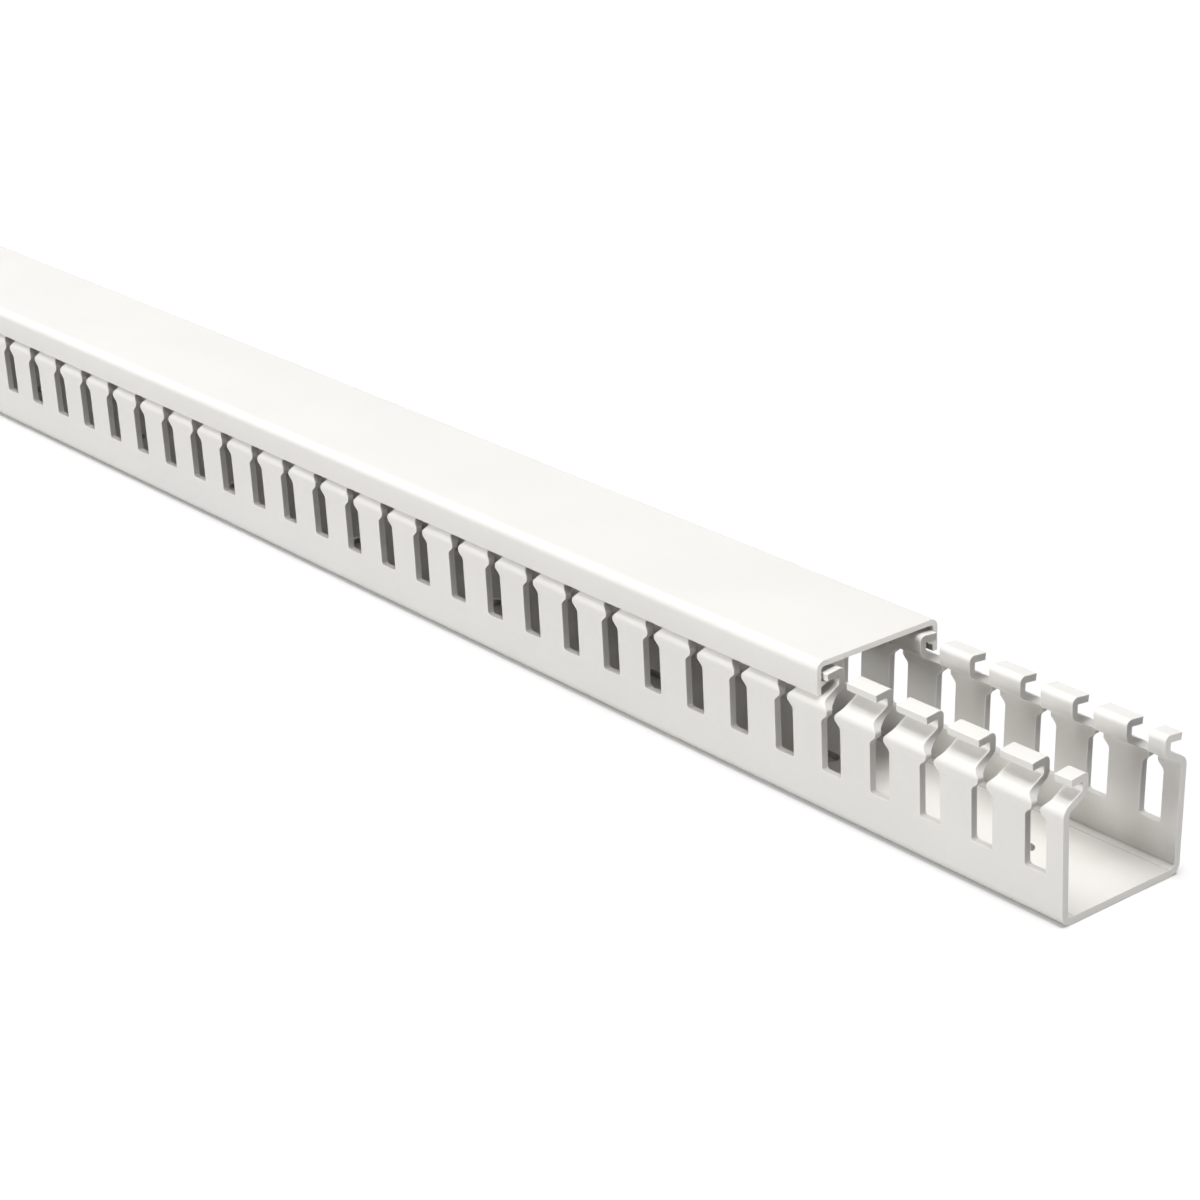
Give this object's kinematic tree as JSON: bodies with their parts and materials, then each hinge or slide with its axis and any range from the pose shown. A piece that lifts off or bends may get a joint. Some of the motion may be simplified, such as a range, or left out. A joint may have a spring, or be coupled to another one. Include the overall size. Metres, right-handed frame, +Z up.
{
  "type": "slotted wire duct",
  "caption": "Rigid plastic wiring duct with a U-shaped body whose slotted walls end in fingers, and a push-on cover slid back to leave one end open.",
  "frame": {"origin": "middle of the underside of the duct's base, on its centre line", "axes": "+X along the duct towards its open end, +Y across it, +Z up from the base towards the cover"},
  "size_m": [0.56, 0.0312, 0.0299],
  "materials": {
    "duct_plastic": "smooth satin extruded rigid PVC",
    "cover_plastic": "smooth satin extruded rigid PVC"
  },
  "bodies": {
    "duct_body": {"duct": "duct_plastic"},
    "cover_body": {"cover": "cover_plastic"}
  },
  "joints": [
    {"name": "cover_slide", "type": "slide", "parent": "duct_body", "child": "cover_body", "axis": [1, 0, 0], "range_m": [-0.34, 0.06]}
  ]
}
